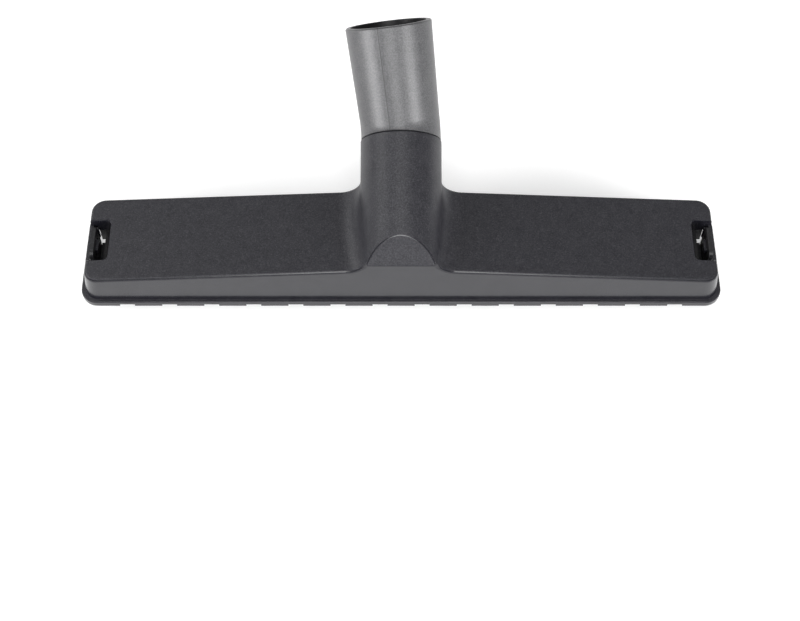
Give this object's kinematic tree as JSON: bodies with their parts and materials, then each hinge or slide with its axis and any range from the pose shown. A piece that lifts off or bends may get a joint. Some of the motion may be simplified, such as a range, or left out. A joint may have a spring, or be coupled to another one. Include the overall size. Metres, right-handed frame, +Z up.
{
  "type": "vacuum floor brush head",
  "caption": "Wide flat vacuum floor head with a swivelling tube elbow and a clip-in brush insert whose bristle rows touch the floor.",
  "frame": {"origin": "bottom centre of the whole part's box, on the floor plane under the bristle tips", "axes": "+X along the head's width, +Y back towards the elbow, +Z up"},
  "size_m": [0.3, 0.1166, 0.1042],
  "materials": {
    "shell_plastic": "spark-textured",
    "elbow_plastic": "spark-textured",
    "insert_plastic": "smooth moulded",
    "bristle": "bundled filament"
  },
  "bodies": {
    "head": {"housing": "shell_plastic", "insert_frame": "insert_plastic", "front_strip_backing": "insert_plastic", "rear_strip_backing": "insert_plastic", "front_bristles": "bristle", "rear_bristles": "bristle"},
    "elbow": {"swivel_elbow": "elbow_plastic"},
    "left_tab": {"left_latch_tab": "insert_plastic"},
    "right_tab": {"right_latch_tab": "insert_plastic"}
  },
  "joints": [
    {"name": "elbow_swivel", "type": "hinge", "parent": "head", "child": "elbow", "pos_m": [0, 0.00509, 0.0538], "axis": [0, 0.9336, 0.3584], "continuous": true},
    {"name": "left_tab_flex", "type": "hinge", "parent": "head", "child": "left_tab", "pos_m": [-0.14403, -0.03301, 0.0136], "axis": [0, 1, 0], "range_deg": [0, 17], "stiffness_Nm_per_rad": 0.02},
    {"name": "right_tab_flex", "type": "hinge", "parent": "head", "child": "right_tab", "pos_m": [0.14403, -0.03301, 0.0136], "axis": [0, -1, 0], "range_deg": [0, 17], "stiffness_Nm_per_rad": 0.02}
  ]
}
